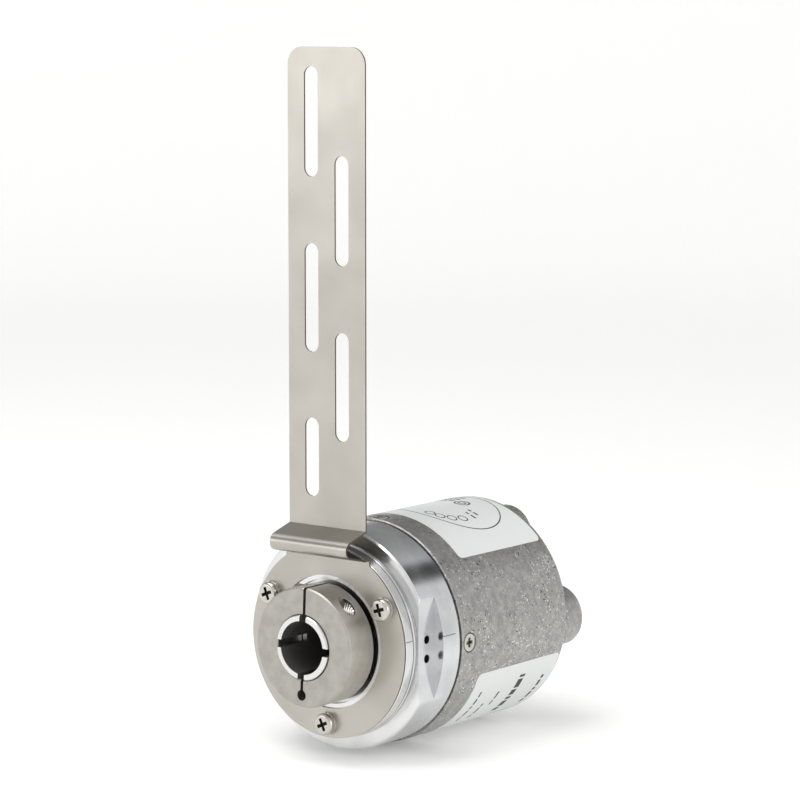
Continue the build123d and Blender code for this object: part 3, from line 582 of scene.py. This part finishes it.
# Plain print on the labels: bars in rows, and circles, with no words or signs.
# Places are degrees round the shaft and millimetres along it
printSettings = {
    "ink": 0.012 * mm,
    # lengths of the bars and the gap between them, in degrees
    "bars": (3.4, 5.2, 2.2, 4.1, 6.0, 2.8),
    "gap": 1.3,
    "bottomRows": [
        {"y": 43.3, "height": 0.75, "from": -55.0, "to": -31.5},
        {"y": 48.6, "height": 0.75, "from": -55.6, "to": -42.0},
        {"y": 52.6, "height": 0.75, "from": -45.0, "to": -33.0},
        {"y": 60.5, "height": 2.3, "from": -56.0, "to": -27.0},
        {"y": 71.4, "height": 1.1, "from": -54.0, "to": -31.5},
        {"y": 43.3, "height": 0.75, "from": -88.0, "to": -64.0},
        {"y": 48.6, "height": 0.75, "from": -88.0, "to": -70.0},
        {"y": 71.4, "height": 1.1, "from": -90.0, "to": -64.0}],
    "topRows": [
        {"y": 58.6, "height": 0.7, "from": 66.0, "to": 73.0},
        {"y": 61.0, "height": 0.7, "from": 68.0, "to": 75.0},
        {"y": 66.0, "height": 1.2, "from": 91.0, "to": 104.0},
        {"y": 68.4, "height": 1.2, "from": 91.0, "to": 104.0},
        {"y": 70.8, "height": 1.2, "from": 91.0, "to": 104.0}],
    # centre, outer radius and line width
    "topCircles": [
        {"turn": 84.0, "y": 58.8, "radius": 14.4, "line": 0.34},
        {"turn": 84.4, "y": 64.8, "radius": 2.3, "line": 0.5},
        {"turn": 84.4, "y": 64.8, "radius": 1.2, "line": 0.4},
        {"turn": 80.5, "y": 47.9, "radius": 1.5, "line": 0.34},
        {"turn": 74.9, "y": 48.6, "radius": 1.5, "line": 0.34},
        {"turn": 70.6, "y": 51.0, "radius": 1.5, "line": 0.34},
        {"turn": 68.3, "y": 54.3, "radius": 1.5, "line": 0.34}],
}


def printRow(row):
    # bars with gaps between them, from one end of the row to the other
    bars = []
    start = row["from"]
    front = (row["y"] - row["height"] / 2) * mm
    rear = (row["y"] + row["height"] / 2) * mm
    while start < row["to"] - printSettings["gap"]:
        length = printSettings["bars"][len(bars) % len(printSettings["bars"])]
        stop = min(start + length, row["to"])
        bars.append(flatPatch(start, stop, front, rear, 0, labelSettings["radius"]))
        start = stop + printSettings["gap"]
    return bars


def printCircle(mark):
    # flat ring at its real size, then X in degrees
    spread = degreesPerMetre(labelSettings["radius"])
    bpy.ops.object.select_all(action="DESELECT")
    bpy.ops.mesh.primitive_circle_add(
        vertices=72, radius=mark["radius"] * mm, fill_type="NOTHING",
        location=(mark["turn"] / spread, mark["y"] * mm, 0))
    ring = bpy.context.object
    inner = (mark["radius"] - mark["line"]) / mark["radius"]
    bpy.ops.object.mode_set(mode="EDIT")
    bpy.ops.mesh.select_all(action="SELECT")
    bpy.ops.mesh.extrude_edges_move()
    bpy.ops.transform.resize(value=(inner, inner, 1), center_override=ring.location)
    bpy.ops.object.mode_set(mode="OBJECT")
    applyTransform()
    for vertex in ring.data.vertices:
        vertex.co.x *= spread
    return ring


def printSkin(name, marks, radius, thickness, look):
    # flat marks joined, rolled on to the cylinder and given their thickness
    only(marks[0])
    for mark in marks[1:]:
        mark.select_set(True)
    if len(marks) > 1:
        bpy.ops.object.join()
    piece = bpy.context.object
    piece.name = name
    wrap(piece, radius)
    faceOutward(piece)
    applyModifier(piece, "SOLIDIFY", {"thickness": thickness, "offset": 1})
    coat(piece, look)
    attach(piece, "stator")


inkRadius = labelSettings["radius"] + labelSettings["film"]
topMarks = [bar for row in printSettings["topRows"] for bar in printRow(row)]
topMarks += [printCircle(mark) for mark in printSettings["topCircles"]]
printSkin("topPrint", topMarks, inkRadius, printSettings["ink"], "ink")
bottomMarks = [bar for row in printSettings["bottomRows"] for bar in printRow(row)]
printSkin("bottomPrint", bottomMarks, inkRadius, printSettings["ink"], "ink")

# Painted shade: a dark ring at the edge of the countersink round each housing screw
sinkShadeSettings = {"radius": 2.66, "line": 0.27, "depth": 0.01 * mm}
for i in range(1, 5):
    middle = middleOf("housing_screw_%d" % i)
    ring = printCircle({"turn": math.degrees(math.atan2(middle.z, middle.x)), "y": middle.y / mm,
                        "radius": sinkShadeSettings["radius"], "line": sinkShadeSettings["line"]})
    printSkin("countersinkShade%d" % i, [ring], labelSettings["radius"], sinkShadeSettings["depth"], "recess")

# Index line scribed across the flange's step and rim
scribeSettings = {"turn": 6.2, "width": 0.45, "depth": 0.01 * mm,
                  "runs": [{"radius": 25.5 * mm, "from": 11.3 * mm, "to": 14.08 * mm},
                           {"radius": 29.5 * mm, "from": 21.4 * mm, "to": 27.0 * mm}]}
for i, run in enumerate(scribeSettings["runs"]):
    low = scribeSettings["turn"] - scribeSettings["width"] / 2
    line = flatPatch(low, low + scribeSettings["width"], run["from"], run["to"], 0, run["radius"])
    printSkin("indexLine%d" % (i + 1), [line], run["radius"], scribeSettings["depth"], "scribeAndShade")

# Fine bead round the flange's step, close to the rim, with a painted shade line before it
beadSettings = {"radius": 25.45 * mm, "size": 0.25 * mm, "y": 14.75 * mm, "segments": 160,
                "lineRadius": 25.5 * mm, "lineFront": 14.08 * mm, "lineRear": 14.32 * mm,
                "lineDepth": 0.01 * mm}


def stepBead():
    bpy.ops.object.select_all(action="DESELECT")
    bpy.ops.mesh.primitive_torus_add(
        major_segments=beadSettings["segments"], minor_segments=12,
        major_radius=beadSettings["radius"], minor_radius=beadSettings["size"],
        location=(0, beadSettings["y"], 0), rotation=(math.radians(90), 0, 0))
    bead = bpy.context.object
    bead.name = "stepBead"
    applyTransform()
    smooth(bead, 60)
    coat(bead, "turned")
    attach(bead, "stator")


def stepShadeLine():
    bpy.ops.object.select_all(action="DESELECT")
    bpy.ops.mesh.primitive_cylinder_add(
        vertices=beadSettings["segments"], radius=beadSettings["lineRadius"],
        depth=beadSettings["lineRear"] - beadSettings["lineFront"], end_fill_type="NOTHING",
        location=(0, (beadSettings["lineFront"] + beadSettings["lineRear"]) / 2, 0),
        rotation=(math.radians(90), 0, 0))
    line = bpy.context.object
    line.name = "stepShadeLine"
    applyTransform()
    faceOutward(line)
    applyModifier(line, "SOLIDIFY", {"thickness": beadSettings["lineDepth"], "offset": 1})
    smooth(line)
    coat(line, "scribeAndShade")
    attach(line, "stator")


stepBead()
stepShadeLine()
print("labels on")

# Screw threads in millimetres; the clamp ring's is cut off at the ring's round side
threadSettings = {
    "clamp": {"radius": 2.06, "height": 0.45, "pitch": 0.7, "steps": 24, "from": 6.6, "to": 14.0,
              "side": 15.32},
    "port": {"radius": 5.52, "height": 0.3, "pitch": 1.0, "steps": 48, "from": 76.6, "to": 83.4},
    "nipple": {"core": 5.4, "bore": 4.8, "height": 0.58, "pitch": 1.0, "steps": 64, "from": 80.4,
               "edge": 0.7, "sink": 0.04},
}


def coil(name, thread, radius, length, inward):
    # triangular ridge that climbs along Z and fills nine tenths of the pitch
    size = thread["height"] / 1.5  # a triangle stands one and a half times its radius high
    tip = -90 if inward else 90
    bpy.ops.object.select_all(action="DESELECT")
    bpy.ops.mesh.primitive_circle_add(vertices=3, radius=size * mm, fill_type="NOTHING",
                                      rotation=(math.radians(90), math.radians(tip), 0))
    ridge = bpy.context.object
    ridge.name = name
    applyTransform()
    ridge.scale = (1, 1, 0.9 * thread["pitch"] / (math.sqrt(3) * size))
    applyTransform()
    base = radius - size / 2 if inward else radius + size / 2
    bpy.ops.object.mode_set(mode="EDIT")
    bpy.ops.mesh.select_all(action="SELECT")
    bpy.ops.transform.translate(value=(base * mm, 0, 0))
    bpy.ops.object.mode_set(mode="OBJECT")
    applyModifier(ridge, "SCREW", {
        "axis": "Z", "angle": math.radians(360), "screw_offset": thread["pitch"] * mm,
        "iterations": max(1, int(length / thread["pitch"])), "steps": thread["steps"],
        "render_steps": thread["steps"], "use_smooth_shade": False})
    bpy.ops.object.mode_set(mode="EDIT")
    bpy.ops.mesh.select_all(action="SELECT")
    bpy.ops.mesh.fill_holes(sides=3)
    bpy.ops.mesh.select_all(action="SELECT")
    bpy.ops.mesh.normals_make_consistent(inside=False)
    bpy.ops.object.mode_set(mode="OBJECT")
    return ridge


def clampThread():
    # in the clamp ring's tapped hole
    thread = threadSettings["clamp"]
    ridge = coil("clampThread", thread, thread["radius"], thread["to"] - thread["from"], True)
    settle(ridge, (0, math.radians(90), 0),
           (thread["from"] * mm, tappedHole["y"] * mm, tappedHole["height"] * mm))
    reach = math.sqrt(thread["side"] ** 2 - tappedHole["height"] ** 2)
    outward = Vector((reach, 0, tappedHole["height"])).normalized()
    cut = (outward * thread["side"] + Vector((0, tappedHole["y"], 0))) * mm
    only(ridge)
    bpy.ops.object.mode_set(mode="EDIT")
    bpy.ops.mesh.select_all(action="SELECT")
    bpy.ops.mesh.bisect(plane_co=cut, plane_no=outward, clear_outer=True, use_fill=True)
    bpy.ops.object.mode_set(mode="OBJECT")
    settle(ridge, (0, tappedTurn, 0), (0, 0, 0))
    coat(ridge, "cut")
    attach(ridge, "rotor")


def portThreads():
    # one ridge for both ports, the second with its own copy of the mesh
    thread = threadSettings["port"]
    first = coil("portThread1", thread, thread["radius"], thread["to"] - thread["from"], True)
    settle(first, (math.radians(-90), 0, 0), (0, 0, 0))
    second = bpy.data.objects.new("portThread2", first.data.copy())
    bpy.context.scene.collection.objects.link(second)
    for ridge, port in ((first, "port_insert_1"), (second, "port_insert_2")):
        middle = middleOf(port)
        settle(ridge, (0, 0, 0), (middle.x, thread["from"] * mm, middle.z))
        coat(ridge, "turned")
        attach(ridge, "stator")


def nippleThread():
    # the power connector's nipple again, as a plain tube with a thread on it
    thread = threadSettings["nipple"]
    middle = middleOf("power_nipple")
    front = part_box("power_nipple")[0][1]
    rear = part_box("power_nipple")[1][1]
    bpy.ops.object.select_all(action="DESELECT")
    bpy.ops.mesh.primitive_plane_add(size=1, rotation=(math.radians(90), 0, 0))
    tube = bpy.context.object
    tube.name = "powerNippleThreaded"
    applyTransform()
    tube.scale = ((thread["core"] - thread["bore"]) * mm, 1, rear - front)
    tube.location = ((thread["core"] + thread["bore"]) / 2 * mm, 0, (rear - front) / 2)
    applyTransform()
    applyModifier(tube, "SCREW", {
        "axis": "Z", "angle": math.radians(360), "screw_offset": 0.0, "steps": thread["steps"],
        "render_steps": thread["steps"], "use_merge_vertices": True, "merge_threshold": 0.001 * mm})
    bpy.ops.object.mode_set(mode="EDIT")
    bpy.ops.mesh.select_all(action="SELECT")
    bpy.ops.mesh.normals_make_consistent(inside=False)
    bpy.ops.object.mode_set(mode="OBJECT")
    length = rear / mm - thread["from"] - thread["edge"]
    ridge = coil("ridge", thread, thread["core"] - thread["sink"], length, False)
    settle(ridge, (0, 0, 0), (0, 0, thread["from"] * mm - front))
    only(tube)
    ridge.select_set(True)
    bpy.ops.object.join()
    settle(tube, (math.radians(-90), 0, 0), (middle.x, front, middle.z))
    smooth(tube, 25)
    coat(tube, "brass")
    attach(tube, "stator")
    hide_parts("power_nipple")


clampThread()
portThreads()
nippleThread()
print("threads cut")

# Floor, light and camera. The floor lies a hair under the housing.
# The air is white, with two dimmer patches and a small dark gap, for the bright metal to mirror
studio = {
    "floor": {"paper": "#F2F2F1", "glow": 0.2, "drop": 1 * mm, "radius": 1.3, "sweep": 0.45, "steps": 10},
    "air": 0.9,
    "rear": {"toward": (-0.5, 0.7, 0.5), "degrees": 27.0, "edge": 26.0, "light": 0.3},
    "gap": {"toward": (0.27, 0.78, 0.565), "degrees": 6.5, "edge": 3.5, "light": 0.03},
    "front": {"toward": (-0.5, -0.6, 0.62), "degrees": 20.0, "edge": 14.0, "light": 0.3},
    "lamps": [
        {"name": "topSoftbox", "from": (-0.15, -0.25, 0.8), "to": (0, 0.03, 0.03),
         "size": (0.6, 0.5), "power": 3.3},
        {"name": "leftSoftbox", "from": (-0.58, -0.74, 0.24), "to": (0, 0.02, 0.08),
         "size": (0.5, 0.3), "power": 0.8},
        {"name": "rightSoftbox", "from": (0.85, -0.15, 0.2), "to": (0, 0.05, 0),
         "size": (0.5, 0.5), "power": 1.2}],
    "camera": {"from": (0.5043, -0.6045, 0.1652), "azimuth": 37.99, "elevation": 7.30, "lens": 140.1},
}


def makeFloor(sheet):
    # pale paper floor that curves up all round
    bpy.ops.object.select_all(action="DESELECT")
    bpy.ops.mesh.primitive_circle_add(vertices=96, radius=sheet["radius"], fill_type="NGON",
                                      location=(0, 0, cadBox[0][2] - sheet["drop"]))
    floor = bpy.context.object
    floor.name = "floor"
    applyTransform()
    bpy.ops.object.mode_set(mode="EDIT")
    bpy.ops.mesh.select_all(action="SELECT")
    bpy.ops.mesh.select_mode(type="EDGE")
    bpy.ops.mesh.region_to_loop()
    radius = sheet["radius"]
    height = 0
    for i in range(sheet["steps"]):
        turn = math.radians(90 * (i + 1) / sheet["steps"])
        newRadius = sheet["radius"] + sheet["sweep"] * math.sin(turn)
        newHeight = sheet["sweep"] * (1 - math.cos(turn))
        grow = newRadius / radius
        bpy.ops.mesh.extrude_edges_move(TRANSFORM_OT_translate={"value": (0, 0, newHeight - height)})
        bpy.ops.transform.resize(value=(grow, grow, 1), center_override=(0, 0, 0))
        radius = newRadius
        height = newHeight
    bpy.ops.object.mode_set(mode="OBJECT")
    smooth(floor, 60)
    material, tree = newMaterial("paleStudioPaper")
    finishMaterial(tree, addNode(tree, "ShaderNodeBsdfPrincipled", {
        "Base Color": hexColour(sheet["paper"]), "Roughness": 0.85, "Specular IOR Level": 0.2,
        "Emission Color": hexColour(sheet["paper"]), "Emission Strength": sheet["glow"]}))
    floor.data.materials.append(material)


def airPatch(tree, toward, patch, outside):
    # strength of the air: the patch's light in a round patch of directions, another value outside it
    match = addNode(tree, "ShaderNodeVectorMath", {
        0: toward, 1: Vector(patch["toward"]).normalized()}, operation="DOT_PRODUCT")
    strength = addNode(tree, "ShaderNodeMapRange", {
        "Value": match.outputs["Value"],
        "From Min": math.cos(math.radians(patch["degrees"] + patch["edge"])),
        "From Max": math.cos(math.radians(patch["degrees"] - patch["edge"])),
        "To Min": outside, "To Max": patch["light"]}, interpolation_type="SMOOTHSTEP")
    return strength.outputs["Result"]


def makeAir():
    world = bpy.data.worlds.new("studioAir")
    bpy.context.scene.world = world
    world.use_nodes = True
    tree = world.node_tree
    tree.nodes.clear()
    place = addNode(tree, "ShaderNodeTexCoord")
    toward = addNode(tree, "ShaderNodeVectorMath", {0: place.outputs["Generated"]}, operation="NORMALIZE")
    rear = airPatch(tree, toward.outputs["Vector"], studio["rear"], studio["air"])
    gap = airPatch(tree, toward.outputs["Vector"], studio["gap"], 1.0)
    front = airPatch(tree, toward.outputs["Vector"], studio["front"], 1.0)
    behind = addNode(tree, "ShaderNodeMath", {0: rear, 1: gap}, operation="MULTIPLY")
    around = addNode(tree, "ShaderNodeMath", {0: behind.outputs["Value"], 1: front}, operation="MULTIPLY")
    seen = addNode(tree, "ShaderNodeLightPath")
    strength = addNode(tree, "ShaderNodeMix", {
        "Factor": seen.outputs["Is Camera Ray"], "A": around.outputs["Value"], "B": 1.0})
    background = addNode(tree, "ShaderNodeBackground", {
        "Color": hexColour("#FFFFFF"), "Strength": strength.outputs["Result"]})
    addNode(tree, "ShaderNodeOutputWorld", {"Surface": background.outputs["Background"]})


def addLamp(lamp):
    bpy.ops.object.select_all(action="DESELECT")
    bpy.ops.object.light_add(type="AREA", location=lamp["from"])
    light = bpy.context.object
    light.name = lamp["name"]
    light.data.shape = "RECTANGLE"
    light.data.size = lamp["size"][0]
    light.data.size_y = lamp["size"][1]
    light.data.energy = lamp["power"]
    aim = Vector(lamp["to"]) - Vector(lamp["from"])
    light.rotation_euler = aim.to_track_quat("-Z", "Y").to_euler()


def addCamera(view):
    bpy.ops.object.select_all(action="DESELECT")
    bpy.ops.object.camera_add(location=view["from"], rotation=(
        math.radians(90 - view["elevation"]), 0, math.radians(view["azimuth"])))
    camera = bpy.context.object
    camera.data.sensor_fit = "HORIZONTAL"
    camera.data.sensor_width = 36
    camera.data.lens = view["lens"]
    camera.data.clip_start = 0.01
    camera.data.clip_end = 20
    bpy.context.scene.camera = camera


makeFloor(studio["floor"])
makeAir()
for lamp in studio["lamps"]:
    addLamp(lamp)
addCamera(studio["camera"])
bpy.context.scene.view_settings.view_transform = "Standard"
print("studio ready")
